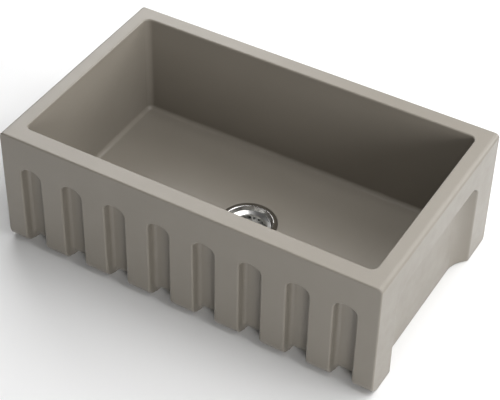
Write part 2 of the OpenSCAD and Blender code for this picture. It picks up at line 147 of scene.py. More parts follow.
class WasteSizes(bpy.types.PropertyGroup):
    """Sizes of the basket strainer and its outlet: a flange's size is its radius."""

    flange_radius: length(0.055)
    flat_radius: length(0.0473, "Radius where the flange turns down")
    flange_thickness: length(0.0022)
    flange_turn: fillet(0.0012)
    flange_edge: fillet(0.0008)
    sheet_edge: fillet(0.0004)
    dish_back: length(0.047965, "Radius of the dish under the flange")
    cup_radius: length(0.0438)
    cup_wall: length(0.0016)
    dish_depth: length(0.012)
    dish_round: fillet(0.0025)
    cup_depth: length(0.048)
    cup_cove: fillet(0.004)
    cup_heel: fillet(0.0015)
    cup_fall: length(0.003, "Fall of the cup's bottom")
    land_radius: length(0.030, "Radius of the stopper's seat")
    land_round: fillet(0.0012)
    outlet_radius: length(0.0205, "Radius of the outlet's hole")
    thread_pitch: length(0.002)
    thread_depth: length(0.0007)
    thread_start: length(0.002, "From a shoulder to a thread")
    thread_end: length(0.0008, "From a thread to the piece's end")
    cup_thread_end: length(0.003, "From the cup's thread to its bottom")
    nut_thread_end: length(0.0004, "From the lock nut's thread to its faces")
    washer_radius: length(0.058)
    washer_edge: fillet(0.0007)
    nut_radius: length(0.053, "Lock nut's radius without its lugs")
    nut_play: length(0.0002, "Play round the cup")
    nut_edge: fillet(0.0012)
    lug_count: IntProperty(default=4, min=1)
    lug_root: length(0.003, "Depth of a lug's root in the nut")
    lug_reach: length(0.005)
    lug_width: length(0.014)
    lug_corner: fillet(0.0015)
    lug_edge: fillet(0.0006)
    spud_flange: length(0.029)
    spud_flange_thickness: length(0.002)
    spud_radius: length(0.0238, "Radius of the outlet's thread")
    spud_bore: length(0.0195, "Radius of the outlet's bore")
    spud_edge: fillet(0.0005)
    spud_round: fillet(0.0008)
    spud_foot: fillet(0.0006)
    tail_radius: length(0.01905)
    tail_wall: length(0.0012)
    tail_flange: length(0.0228)
    tail_flange_thickness: length(0.0015)
    tail_mouth: fillet(0.0008)
    tail_edge: fillet(0.0006)
    tail_end: fillet(0.0005)
    coupling_flats: length(0.056, "Width across the flats")
    coupling_bore: length(0.024, "Radius of the coupling nut's thread")
    coupling_lip: length(0.0025, "Thickness of the coupling nut's lip")
    coupling_hole: length(0.020, "Radius of the hole in the lip")
    coupling_thread_start: length(0.0012, "From the nut's mouth to its thread")
    coupling_chamfer: length(0.0006, "Reach inside the flats")
    cone_reach: length(0.001, "Reach of the chamfer's cutter past the nut")
    coupling_corner: fillet(0.0008)
    coupling_edge: fillet(0.0006)


class BasketSizes(bpy.types.PropertyGroup):
    """Sizes of the basket and its stopper."""

    rim_radius: length(0.0432)
    mouth_radius: length(0.0345)
    rim_fall: length(0.004)
    rim_edge: fillet(0.0005)
    mouth_round: fillet(0.0022)
    mouth_heel: fillet(0.0015)
    bottom_radius: length(0.0275)
    bottom_cove: fillet(0.0025)
    bottom_heel: fillet(0.0035)
    sheet: length(0.0012)
    wall_holes: IntProperty(description="Holes in each row of the wall", default=22, min=6)
    wall_hole_radius: length(0.0025)
    wall_pin_start: length(0.0165, "Radius where the wall's cutters begin")
    wall_row_high: length(0.0084, "Depth of the upper row of holes")
    wall_row_low: length(0.0168, "Depth of the lower row of holes")
    floor_holes: IntProperty(description="Holes in the bottom's outer ring", default=16, min=4)
    floor_holes_inner: IntProperty(description="Holes in the bottom's inner ring", default=10, min=4)
    floor_hole_radius: length(0.002)
    floor_ring: length(0.022275, "Radius of the outer ring of holes")
    floor_ring_inner: length(0.0143, "Radius of the inner ring of holes")
    collar_radius: length(0.006)
    collar_flange: length(0.0096, "Radius of the collar's foot")
    collar_foot: fillet(0.0002)
    collar_edge: fillet(0.0005)
    collar_round: fillet(0.0008)
    guide_radius: length(0.00308, "Radius of the stem's guide")
    guide_edge: fillet(0.0003)
    play: length(0.0001, "Play between fitted pieces")
    clip_height: place(0.01192, "Height of the detent ring")
    clip_groove: length(0.00478, "Radius of its groove")
    clip_half: length(0.001, "Half the groove's height")
    stem_radius: length(0.003)
    stem_edge: fillet(0.0004)
    stem_foot: fillet(0.0006)
    thread_pitch: length(0.001)
    thread_depth: length(0.0003)
    thread_rise: length(0.004, "Rise of the thread from its nut's foot")
    stem_groove: length(0.0011, "Radius of the stem's grooves")
    groove_line: length(0.00378, "Middle of the stem's grooves, from the axis")
    travel: length(0.008)
    knob_radius: length(0.009)
    knob_dish: length(0.0006, "Depth of the dish in the knob")
    knob_dish_radius: length(0.00495)
    knob_shoulder: fillet(0.0026)
    knob_under: fillet(0.0022)
    knob_round: fillet(0.0012)
    knob_bore: length(0.006, "Depth of the knob's bore")
    knob_neck: length(0.0055, "Radius of the knob's neck")
    neck_height: length(0.004)
    neck_edge: fillet(0.0005)
    stopper_radius: length(0.0245)
    stopper_chamfer: length(0.001)
    stopper_edge: fillet(0.0006)
    stopper_round: fillet(0.001)
    plate_edge: fillet(0.0004)
    plate_foot: fillet(0.0002)


class Finishes(bpy.types.PropertyGroup):
    """Colours of the pieces."""

    clay: tint(0.231, 0.209, 0.177)
    clay_deep: tint(0.215, 0.195, 0.164)
    polished: tint(0.6, 0.595, 0.58)
    steel: tint(0.52, 0.515, 0.505)
    zinc: tint(0.50, 0.51, 0.52)
    brass: tint(0.62, 0.62, 0.63)
    rubber: tint(0.018, 0.018, 0.018)
    fibre: tint(0.26, 0.165, 0.085)
    floor: tint(0.9, 0.9, 0.9)


class StageSettings(bpy.types.PropertyGroup):
    """Camera and light."""

    camera: FloatVectorProperty(default=(1.0508, -1.8447, 1.9864), unit="LENGTH")
    target: FloatVectorProperty(default=(0.00477, -0.17343, 0.254), unit="LENGTH")
    roll: FloatProperty(default=math.radians(-0.319), subtype="ANGLE")
    lens: FloatProperty(default=111.16, min=10)
    shift_x: FloatProperty(default=0.0988)
    shift_y: FloatProperty(default=-0.0237)
    key: power(120)
    rim_light: power(82)
    back_left: power(44)
    back_right: power(38)
    top: power(11)
    front_right: power(104)
    front_left: power(8)
    sky: FloatProperty(description="Even light of the room", default=0.05, min=0)
    aim: length(0.15, "Height that the lights point at")
    floor_size: length(6)
    floor_gap: length(0.0003, "Gap between floor and sink")


def clear_selection():
    """Leaves edit mode and deselects everything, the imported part's nodes too."""
    if bpy.context.object and bpy.context.object.mode != "OBJECT":
        bpy.ops.object.mode_set(mode="OBJECT")
    bpy.ops.object.select_all(action="DESELECT")


def only(piece):
    """Selects one piece and makes it the active one."""
    clear_selection()
    piece.select_set(True)
    bpy.context.view_layer.objects.active = piece


def edit_all(piece, kind="VERT", action="SELECT"):
    """Opens a piece in edit mode with everything selected, or deselected."""
    only(piece)
    bpy.ops.object.mode_set(mode="EDIT")
    bpy.ops.mesh.select_mode(type=kind)
    bpy.ops.mesh.select_all(action=action)


def leave_edit():
    """Goes back to object mode."""
    bpy.ops.object.mode_set(mode="OBJECT")


def pick(piece, kind, test):
    """Opens a piece in edit mode with the parts selected that pass a test on their place."""
    edit_all(piece, kind, "DESELECT")
    mesh = bmesh.from_edit_mesh(piece.data)
    found = [p for p in {"VERT": mesh.verts, "EDGE": mesh.edges, "FACE": mesh.faces}[kind] if test(p)]
    if not found:
        raise RuntimeError(f"{piece.name}: nothing to select for this step")
    for part in found:
        part.select_set(True)
    mesh.select_flush_mode()
    bmesh.update_edit_mesh(piece.data)


def near(a, b, slack=1e-5):
    """True where two lengths agree."""
    return abs(a - b) < slack


def along(edge, axis):
    """True for an edge that runs along an axis."""
    run = edge.verts[1].co - edge.verts[0].co
    return run.length > 1e-7 and abs(abs(run[axis]) - run.length) < 1e-7


def lies_at(part, axis, value):
    """True for an edge or face whose corners all lie at one value on an axis."""
    return all(near(v.co[axis], value) for v in part.verts)


def is_sharp(edge, degrees):
    """True for an edge between two faces that meet at more than an angle."""
    return len(edge.link_faces) == 2 and edge.calc_face_angle(0) > math.radians(degrees)


def radius_of(vertex):
    """Distance of a vertex from the drain's axis."""
    return math.hypot(vertex.co.x, vertex.co.y)


def modified(piece, kind, **settings):
    """Applies one modifier to a piece."""
    only(piece)
    step = piece.modifiers.new(kind, kind)
    for name, value in settings.items():
        setattr(step, name, value)
    bpy.ops.object.modifier_apply(modifier=step.name)


def shaped(name):
    """The piece just added, named and with its placing applied."""
    piece = bpy.context.object
    piece.name = name
    bpy.ops.object.transform_apply(location=True, rotation=True, scale=True)
    return piece


def block(name, low, high):
    """A cuboid between two corners, ready to be shaped."""
    clear_selection()
    middle = [(a + b) / 2 for a, b in zip(low, high)]
    size = [b - a for a, b in zip(low, high)]
    bpy.ops.mesh.primitive_cube_add(size=1, location=middle, scale=size)
    return shaped(name)


def cylinder(name, sides, radius, height, middle, turn):
    """A straight prism or cylinder, ready to be shaped."""
    clear_selection()
    bpy.ops.mesh.primitive_cylinder_add(
        vertices=sides, radius=radius, depth=height, location=middle, rotation=turn
    )
    return shaped(name)


def bevel(radius, steps, kind="EDGES"):
    """Rounds the selected edges or corners and goes back to object mode."""
    bpy.ops.mesh.bevel(
        offset=radius, offset_type="OFFSET", segments=steps, profile=0.5, affect=kind, clamp_overlap=False
    )
    leave_edit()


def round_edges(piece, test, radius, steps):
    """Rounds the edges that pass a test."""
    pick(piece, "EDGE", test)
    bevel(radius, steps)


def round_ring(piece, radius, height, rounding):
    """Rounds the edge of a hole about the drain's axis, with room for the circle's flats."""
    on_ring = lambda e: lies_at(e, 2, height) and all(near(radius_of(v), radius, 1e-4) for v in e.verts)
    round_edges(piece, on_ring, rounding, 3)


def remove(piece):
    """Takes a piece away."""
    only(piece)
    bpy.ops.object.delete()


def cut(piece, tool, how="DIFFERENCE"):
    """Cuts a piece with a tool, keeps what they share or joins them, and takes the tool away."""
    modified(piece, "BOOLEAN", operation=how, solver="EXACT", object=tool)
    remove(tool)


def face_outwards(piece):
    """Merges doubles and turns every face outwards."""
    edit_all(piece)
    bpy.ops.mesh.remove_doubles(threshold=MERGE)
    bpy.ops.mesh.normals_make_consistent(inside=False)
    leave_edit()


def copied(piece, shift=(0, 0, 0), stretch=(1, 1, 1), turn=0):
    """A copy of a piece with its own mesh, stretched, turned about the drain's axis and moved."""
    only(piece)
    bpy.ops.object.duplicate()
    twin = bpy.context.object
    edit_all(twin)
    if stretch != (1, 1, 1):
        bpy.ops.transform.resize(value=stretch, center_override=(0, 0, 0))
    if turn:
        bpy.ops.transform.rotate(value=-turn, orient_axis="Z", center_override=(0, 0, 0))
    bpy.ops.transform.translate(value=shift)
    leave_edit()
    return twin


def joined(pieces):
    """Joins pieces into the first of them."""
    clear_selection()
    for piece in pieces:
        piece.select_set(True)
    bpy.context.view_layer.objects.active = pieces[0]
    bpy.ops.object.join()
    return bpy.context.object


def turned(name, outline, steps=96):
    """A piece turned on a lathe about the drain's axis, from the outline of its section.

    The outline holds (radius, height) points in order, and a rounded corner adds its
    radius and number of steps. The outline closes from its last point to its first,
    and is left open along the axis where both have radius 0.
    """
    solid = near(outline[0][0], 0) and near(outline[-1][0], 0)
    clear_selection()
    bpy.ops.mesh.primitive_plane_add(size=REACH)
    piece = bpy.context.object
    piece.name = name
    edit_all(piece)
    bpy.ops.mesh.merge(type="CENTER")
    bpy.ops.transform.translate(value=(outline[0][0], 0, outline[0][1]))
    for (r0, z0, *_), (r1, z1, *_) in zip(outline, outline[1:]):
        bpy.ops.mesh.extrude_vertices_move(TRANSFORM_OT_translate={"value": (r1 - r0, 0, z1 - z0)})
    bpy.ops.mesh.select_all(action="SELECT")
    bpy.ops.mesh.edge_face_add()
    leave_edit()
    for r, z, *rounding in outline:
        if rounding:
            pick(piece, "VERT", lambda v: near(v.co.x, r, MERGE) and near(v.co.z, z, MERGE))
            bevel(*rounding, "VERTICES")
    edit_all(piece)
    bpy.ops.mesh.delete(type="ONLY_FACE")
    if solid:
        leave_edit()
        pick(piece, "EDGE", lambda e: lies_at(e, 0, 0))
        bpy.ops.mesh.delete(type="EDGE")
    bpy.ops.mesh.select_all(action="SELECT")
    bpy.ops.mesh.spin(steps=steps, dupli=False, angle=math.tau, center=(0, 0, 0), axis=(0, 0, 1))
    leave_edit()
    face_outwards(piece)
    return piece


def threaded(s, radius, top, bottom, outward=True):
    """Outline points of a thread's crests and roots, from its top to its bottom."""
    root = radius - s.thread_depth if outward else radius + s.thread_depth
    form = ((radius, 0.1), (root, 0.45), (root, 0.6), (radius, 0.95))
    turns = range(int((top - bottom) / s.thread_pitch))
    return [(r, top - (turn + share) * s.thread_pitch) for turn in turns for r, share in form]


def smooth(piece):
    """Shades a piece smooth, with its flats kept flat."""
    only(piece)
    bpy.ops.object.shade_smooth_by_angle(angle=math.radians(35))
    modified(piece, "WEIGHTED_NORMAL", keep_sharp=True)


def fit(piece, body, node, slot, finish=""):
    """Puts a piece in the place of its solid, with its slot's finish or one of its own."""
    smooth(piece)
    piece.data.materials.clear()
    piece.data.materials.append(finish_named(finish or slot))
    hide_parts(node)
    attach(piece, body)


def feed(tree, target, inputs):
    """Sets a shader node's inputs, or links those that come from another node."""
    for name, value in inputs.items():
        if isinstance(value, bpy.types.NodeSocket):
            tree.links.new(value, target.inputs[name])
        else:
            target.inputs[name].default_value = value


def added(tree, kind, inputs, **settings):
    """A new shader node with its settings and inputs."""
    node = tree.nodes.new(kind)
    for name, value in settings.items():
        setattr(node, name, value)
    feed(tree, node, inputs)
    return node


def surface(name, colour, metallic, roughness):
    """A new material with its shader, and the point on the piece that its patterns read."""
    material = bpy.data.materials.new(f"finish_{name}")
    material.use_nodes = True
    tree = material.node_tree
    shader = tree.nodes["Principled BSDF"]
    feed(tree, shader, {"Base Color": (*colour, 1), "Metallic": metallic, "Roughness": roughness})
    point = tree.nodes.new("ShaderNodeTexCoord").outputs["Object"]
    return material, tree, shader, point


def stretched(tree, point, scale):
    """The point on the piece, scaled on each axis."""
    return added(tree, "ShaderNodeMapping", {"Vector": point, "Scale": scale}).outputs["Vector"]


def cloud(tree, point, scale, detail=4.0, roughness=0.55):
    """Soft noise of a given fineness, per metre."""
    inputs = {"Vector": point, "Scale": scale, "Detail": detail, "Roughness": roughness}
    return added(tree, "ShaderNodeTexNoise", inputs).outputs["Fac"]


def spread(tree, value, low, high):
    """Stretches the middle of a noise over a range."""
    inputs = {"Value": value, "From Min": 0.3, "From Max": 0.7, "To Min": low, "To Max": high}
    return added(tree, "ShaderNodeMapRange", inputs).outputs["Result"]


def mixed(tree, value, low, high):
    """A colour between two colours."""
    node = added(tree, "ShaderNodeMix", {"Factor": value}, data_type="RGBA")
    first, second = [socket for socket in node.inputs if socket.type == "RGBA"]
    first.default_value = (*low, 1)
    second.default_value = (*high, 1)
    return next(socket for socket in node.outputs if socket.type == "RGBA")


def product(tree, first, second):
    """The product of two values."""
    return added(tree, "ShaderNodeMath", {0: first, 1: second}, operation="MULTIPLY").outputs[0]


def shaded(colour, share):
    """A colour made darker or lighter by a share."""
    return tuple(min(1.0, c * share) for c in colour)


def coat(tree, shader, colour, roughness, height, depth, strength):
    """Gives a shader its colour, its roughness and the pattern that raises its surface."""
    bump = added(tree, "ShaderNodeBump", {"Height": height, "Distance": depth, "Strength": strength})
    feed(tree, shader, {"Base Color": colour, "Roughness": roughness, "Normal": bump.outputs["Normal"]})


def clay_finish(name, clay):
    """Matt fired clay: a fine grain, faint clouds of tone and a soft sheen."""
    material, tree, shader, point = surface(name, clay, 0, 0.5)
    clay_deep = bpy.context.scene.sink_finishes.clay_deep
    cloud_share = 0.45
    clouds = cloud(tree, point, 9, 3)
    grain = cloud(tree, point, 1100, 2, 0.7)
    inputs = {0: clouds, 1: cloud_share, 2: product(tree, grain, 1 - cloud_share)}
    both = added(tree, "ShaderNodeMath", inputs, operation="MULTIPLY_ADD")
    tone = mixed(tree, spread(tree, both.outputs[0], 0, 1), clay_deep, clay)
    coat(tree, shader, tone, spread(tree, cloud(tree, point, 40, 3), 0.33, 0.4), grain, 0.00012, 0.5)
    return material


def turned_finish(name, colour, rough, rings, depth, flat=0):
    """Bright metal with a lathe's fine rings and faint clouds, mirror-smooth beyond a flat's radius."""
    material, tree, shader, point = surface(name, colour, 1, rough[0])
    inputs = {"Vector": point, "Scale": rings, "Distortion": 1.2, "Detail": 2}
    wave = added(tree, "ShaderNodeTexWave", inputs, wave_type="RINGS", rings_direction="Z")
    height = wave.outputs["Fac"]
    clouds = cloud(tree, point, 90)
    tone = mixed(tree, spread(tree, clouds, 0, 1), shaded(colour, 0.9), colour)
    roughness = spread(tree, clouds, *rough)
    if flat:
        flattened = added(tree, "ShaderNodeVectorMath", {0: point, 1: (1, 1, 0)}, operation="MULTIPLY")
        radius = added(tree, "ShaderNodeVectorMath", {0: flattened.outputs[0]}, operation="LENGTH")
        fade = 0.0006
        limits = {"Value": radius.outputs["Value"], "From Min": flat, "From Max": flat - fade}
        inside = added(tree, "ShaderNodeMapRange", limits).outputs["Result"]
        roughness = product(tree, roughness, inside)
        height = product(tree, height, inside)
    coat(tree, shader, tone, roughness, height, depth, 0.5)
    return material


def brushed_finish(name, colour):
    """Pressed steel with fine lines drawn along the waste."""
    material, tree, shader, point = surface(name, colour, 1, 0.32)
    lines = cloud(tree, stretched(tree, point, (1400, 1400, 60)), 1, 3)
    tone = mixed(tree, spread(tree, lines, 0, 1), shaded(colour, 0.86), colour)
    coat(tree, shader, tone, spread(tree, lines, 0.24, 0.4), lines, 0.00002, 0.5)
    return material


def cast_finish(name, colour):
    """Satin plating over a die casting: a soft pebbled skin."""
    material, tree, shader, point = surface(name, colour, 1, 0.35)
    pebbles = cloud(tree, point, 900, 2)
    clouds = cloud(tree, point, 60, 3)
    tone = mixed(tree, spread(tree, clouds, 0, 1), shaded(colour, 0.85), colour)
    coat(tree, shader, tone, spread(tree, clouds, 0.28, 0.42), pebbles, 0.00006, 0.6)
    return material


def rubber_finish(name, colour):
    """Moulded rubber: a dull skin with a faint bloom."""
    material, tree, shader, point = surface(name, colour, 0, 0.7)
    bloom = cloud(tree, point, 120)
    skin = cloud(tree, point, 2500, 2)
    tone = mixed(tree, spread(tree, bloom, 0, 1), colour, shaded(colour, 1.9))
    coat(tree, shader, tone, spread(tree, bloom, 0.58, 0.78), skin, 0.00004, 0.6)
    return material


def fibre_finish(name, colour):
    """Pressed fibre board: short hairs of darker and lighter brown."""
    material, tree, shader, point = surface(name, colour, 0, 0.85)
    hairs = cloud(tree, stretched(tree, point, (900, 250, 2500)), 1, 6, 0.7)
    tone = mixed(tree, spread(tree, hairs, 0, 1), shaded(colour, 0.6), shaded(colour, 1.3))
    coat(tree, shader, tone, spread(tree, hairs, 0.78, 0.95), hairs, 0.00008, 0.7)
    return material


# Each finish has its maker and colour. A turned one adds the range of its roughness, the
# scale and depth of its rings, and the radius beyond which it is mirror-smooth.
FINISHES = {
    "fired_clay": (clay_finish, "clay"),
    "polished_steel": (turned_finish, "polished", (0.26, 0.34), 400, 0.00002),
    "strainer_steel": (turned_finish, "polished", (0.12, 0.2), 400, 0.00008, 0.0483),
    "turned_steel": (turned_finish, "steel", (0.24, 0.36), 900, 0.00003),
    "plated_brass": (turned_finish, "brass", (0.08, 0.16), 500, 0.000006),
    "drawn_steel": (brushed_finish, "steel"),
    "plated_zinc": (cast_finish, "zinc"),
    "black_rubber": (rubber_finish, "rubber"),
    "pressed_fibre": (fibre_finish, "fibre"),
}


def finish_named(name):
    """The finish of a name, made at its first use."""
    found = bpy.data.materials.get(f"finish_{name}")
    if found:
        return found
    maker, colour, *pattern = FINISHES[name]
    return maker(name, getattr(bpy.context.scene.sink_finishes, colour), *pattern)


def basin_body(s):
    """The outer block of the basin, with its rim's sides, toe and heel rounded."""
    low, high = BASIN_LOW, BASIN_HIGH
    body = block("basin", low, high)
    round_edges(body, lambda e: along(e, 1) and lies_at(e, 2, high.z), s.rim_round, 8)
    foot = lambda e, y: along(e, 0) and lies_at(e, 2, low.z) and lies_at(e, 1, y)
    round_edges(body, lambda e: foot(e, low.y), s.toe_round, 12)
    round_edges(body, lambda e: foot(e, high.y), s.heel_round, 5)
    return body


def cut_bowl(body, s):
    """Hollows the bowl and rounds the lip round its mouth."""
    low = (BASIN_LOW.x + s.rim_side, BASIN_LOW.y + s.rim_front, s.floor_height)
    high = (BASIN_HIGH.x - s.rim_side, BASIN_HIGH.y - s.rim_back, BASIN_HIGH.z + REACH)
    bowl = block("bowl", low, high)
    round_edges(bowl, lambda e: along(e, 2), s.bowl_corner, 8)
    round_edges(bowl, lambda e: lies_at(e, 2, s.floor_height), s.bowl_cove, 7)
    cut(body, bowl)
    inside = lambda v: all(low[axis] - 1e-4 < v.co[axis] < high[axis] + 1e-4 for axis in (0, 1))
    lip = lambda e: lies_at(e, 2, BASIN_HIGH.z) and all(inside(v) for v in e.verts)
    round_edges(body, lip, s.lip_round, 5)


def flute_places(s):
    """The middle of each flute across the apron, with the outer ones moved inwards."""
    last = s.flute_count - 1
    places = [(number - last / 2) * s.flute_pitch for number in range(s.flute_count)]
    places[0] += s.flute_end_shift
    places[last] -= s.flute_end_shift
    return places


def cut_flutes(body, s):
    """Cuts the flutes, which run up the apron and turn away under it."""
    half = s.flute_width / 2
    depth = BASIN_LOW.y + s.flute_depth
    top = s.flute_shoulder + half
    tool = block("flute", (-half, BASIN_LOW.y - REACH, s.flute_turn), (half, depth, top))
    round_edges(tool, lambda e: along(e, 1) and lies_at(e, 2, top), half - MERGE, 16)
    pick(tool, "VERT", lambda v: v.co.z > s.flute_shoulder + 1e-5)
    bpy.ops.transform.resize(value=(1, 1, s.flute_head / half), center_override=(0, 0, s.flute_shoulder))
    leave_edit()
    cove = lambda e: lies_at(e, 1, depth) and not lies_at(e, 2, s.flute_turn) and is_sharp(e, 5)
    round_edges(tool, cove, s.flute_cove, 7)
    pick(tool, "FACE", lambda f: lies_at(f, 2, s.flute_turn))
    centre = (0, depth + s.flute_turn, s.flute_turn)
    bpy.ops.mesh.spin(steps=12, dupli=False, angle=math.radians(-90), center=centre, axis=(1, 0, 0))
    leave_edit()
    face_outwards(tool)
    flutes = [copied(tool, (x, 0, 0)) for x in flute_places(s)]
    remove(tool)
    cut(body, joined(flutes))


def arch_tool(s):
    """The hollow of one side arch: its rear jamb is a long cove."""
    wall = BASIN_HIGH.x - s.arch_depth
    reach = BASIN_HIGH.x + s.arch_cove
    jamb = s.arch_cove - s.arch_depth
    cove_end = s.arch_back - math.sqrt(s.arch_cove**2 - jamb**2) + s.arch_cove
    outline_end = s.arch_back + s.arch_nib
    inner = (wall - REACH, s.arch_front, -2 * REACH)
    outline = block("arch_outline", inner, (reach, outline_end, s.arch_top))
    round_edges(outline, lambda e: along(e, 0) and lies_at(e, 2, s.arch_top), s.arch_corner, 14)
    hollow = block("arch_hollow", (wall, s.arch_front, -REACH), (reach, cove_end, s.arch_top + REACH))
    upright = lambda e, y: along(e, 2) and lies_at(e, 0, wall) and lies_at(e, 1, y)
    round_edges(hollow, lambda e: upright(e, cove_end), s.arch_cove, 10)
    round_edges(hollow, lambda e: upright(e, s.arch_front), s.arch_front_cove, 7)
    cut(hollow, outline, "INTERSECT")
    return hollow


def cut_arches(body, s):
    """Cuts the arch into both sides, and rounds the edges that are still sharp."""
    right = arch_tool(s)
    left = copied(right, stretch=(-1, 1, 1))
    face_outwards(left)
    cut(body, joined([right, left]))
    round_edges(body, lambda e: is_sharp(e, 40) and e.is_convex, s.corner_round, 5)


def cut_drain(body, s):
    """Cuts the drain with the flange's seat above it and the recess under it."""
    seat = s.floor_height - s.seat_depth
    top = s.floor_height + REACH / 2
    outline = [
        (0, -REACH),
        (s.recess_radius, -REACH),
        (s.recess_radius, s.recess_depth, s.recess_round, 4),
        (s.drain_radius, s.recess_depth),
        (s.drain_radius, seat - s.drain_flare_depth),
        (s.drain_flare, seat),
        (s.seat_radius, seat),
        (s.seat_radius, top),
        (0, top),
    ]
    cut(body, turned("drain", outline))
    round_ring(body, s.seat_radius, s.floor_height, s.seat_edge)
    round_ring(body, s.recess_radius, 0, s.recess_edge)


def soften_mouths(body, s):
    """Rounds the ribs where the flutes open in the apron, and less and less under its toe."""
    places = flute_places(s)
    toe_line = BASIN_LOW.y + s.toe_round
    turn_line = BASIN_LOW.y + s.flute_depth + s.flute_turn

    def on_apron(v):
        if v.co.z >= s.toe_round - 1e-5:
            return near(v.co.y, BASIN_LOW.y, 2e-5)
        return near(math.hypot(v.co.y - toe_line, v.co.z - s.toe_round), s.toe_round, 3e-4)

    def at_flute(v):
        return any(abs(v.co.x - x) < s.flute_width / 2 + 1e-4 for x in places)

    def is_mouth(e):
        return is_sharp(e, 20) and all(v.co.y <= toe_line and on_apron(v) and at_flute(v) for v in e.verts)

    def share(e):
        """The share of the full rounding that the flute's wall has room for beside an edge."""
        middle = (e.verts[0].co + e.verts[1].co) / 2
        if middle.z > s.toe_round:
            return 1
        from_turn = math.hypot(middle.y - turn_line, middle.z - s.flute_turn)
        room = from_turn - s.flute_turn - s.flute_cove
        return min(1, max(0.1, round(0.9 * room / s.rib_round, 2)))

    edit_all(body)
    mesh = bmesh.from_edit_mesh(body.data)
    shares = {share(e) for e in mesh.edges if is_mouth(e)}
    leave_edit()
    for part in sorted(shares):
        pick(body, "EDGE", lambda e: is_mouth(e) and share(e) == part)
        bpy.ops.transform.edge_bevelweight(value=part)
        leave_edit()
    size = {"offset_type": "OFFSET", "width": s.rib_round, "segments": 5}
    modified(body, "BEVEL", limit_method="WEIGHT", use_clamp_overlap=False, **size)


class SINK_OT_basin(bpy.types.Operator):
    """Model the fireclay basin with its flutes, arches and drain"""

    bl_idname = "sink.basin"
    bl_label = "Basin"

    def execute(self, context):
        sizes = context.scene.sink_basin_sizes
        body = basin_body(sizes)
        for shape in (cut_arches, cut_bowl, cut_flutes, cut_drain, soften_mouths):
            shape(body, sizes)
        edit_all(body)
        bpy.ops.mesh.remove_doubles(threshold=2 * MERGE)
        bpy.ops.mesh.dissolve_degenerate(threshold=MERGE)
        leave_edit()
        fit(body, "sink", "sink_basin", "fireclay", "fired_clay")
        return {"FINISHED"}


class SINK_OT_strainer(bpy.types.Operator):
    """Turn the strainer's body with its flange, dish and threaded cup"""

    bl_idname = "sink.strainer"
    bl_label = "Strainer"

    def execute(self, context):
        s = context.scene.sink_waste_sizes
        top = STRAINER_TOP
        under = top - s.flange_thickness
        dish = top - s.dish_depth
        cup = top - s.cup_depth
        land = cup - s.cup_fall
        bore = s.cup_radius - s.cup_wall
        outline = [
            (s.flat_radius, top, s.flange_turn, 4),
            (s.flange_radius, top, s.flange_edge, 4),
            (s.flange_radius, under, s.sheet_edge, 2),
            (s.dish_back, under),
            (s.cup_radius, dish),
            *threaded(s, s.cup_radius, dish - s.thread_start, cup + s.cup_thread_end),
            (s.cup_radius, cup - s.cup_wall, s.cup_heel, 4),
            (s.land_radius, land - s.cup_wall),
            (s.outlet_radius, land - s.cup_wall),
            (s.outlet_radius, land, s.sheet_edge, 2),
            (s.land_radius, land, s.land_round, 3),
            (bore, cup, s.cup_cove, 5),
            (bore, dish, s.dish_round, 5),
        ]
        fit(turned("strainer", outline, 128), "sink", "strainer_body", "polished_steel", "strainer_steel")
        return {"FINISHED"}


def model_washer(s):
    """The rubber washer under the basin."""
    low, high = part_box("sealing_washer")
    bore = s.cup_radius + s.nut_play
    section = ((bore, low.z), (s.washer_radius, low.z), (s.washer_radius, high.z), (bore, high.z))
    washer = turned("sealing_washer_ring", [(*corner, s.washer_edge, 3) for corner in section])
    fit(washer, "sink", "sealing_washer", "rubber", "black_rubber")


def model_lock_nut(s):
    """The threaded ring with its lugs."""
    low, high = NUT_LOW.z, NUT_HIGH.z
    bore = s.cup_radius + s.nut_play
    outline = [
        (bore, low),
        (s.nut_radius, low, s.nut_edge, 3),
        (s.nut_radius, high, s.nut_edge, 3),
        (bore, high),
        *threaded(s, bore, high - s.nut_thread_end, low + s.nut_thread_end, False),
    ]
    nut = turned("lock_nut_ring", outline)
    root, half = s.nut_radius - s.lug_root, s.lug_width / 2
    lug = block("lug", (root, -half, low), (s.nut_radius + s.lug_reach, half, high))
    outer = lambda e: all(v.co.x > s.nut_radius for v in e.verts)
    round_edges(lug, lambda e: along(e, 2) and outer(e), s.lug_corner, 3)
    round_edges(lug, lambda e: is_sharp(e, 50) and not lies_at(e, 0, root), s.lug_edge, 2)
    lugs = [copied(lug, turn=math.tau * number / s.lug_count) for number in range(s.lug_count)]
    remove(lug)
    cut(nut, joined(lugs), "UNION")
    face_outwards(nut)
    fit(nut, "sink", "lock_nut", "plated_zinc")


class SINK_OT_clamping(bpy.types.Operator):
    """Model the washer and the lock nut that clamp the strainer under the basin"""

    bl_idname = "sink.clamping"
    bl_label = "Washer and lock nut"

    def execute(self, context):
        for model in (model_washer, model_lock_nut):
            model(context.scene.sink_waste_sizes)
        return {"FINISHED"}


def model_outlet(s):
    """The flanged and threaded outlet under the cup."""
    top, low = SPUD_HIGH.z, SPUD_LOW.z
    under = top - s.spud_flange_thickness
    outline = [
        (s.spud_bore, top),
        (s.spud_flange, top, s.spud_edge, 3),
        (s.spud_flange, under, s.spud_edge, 3),
        (s.spud_radius, under, s.spud_round, 3),
        *threaded(s, s.spud_radius, under - s.thread_start, low + s.thread_end),
        (s.spud_radius, low, s.spud_foot, 2),
        (s.spud_bore, low),
    ]
    fit(turned("outlet_tube", outline), "sink", "outlet_spud", "steel", "turned_steel")


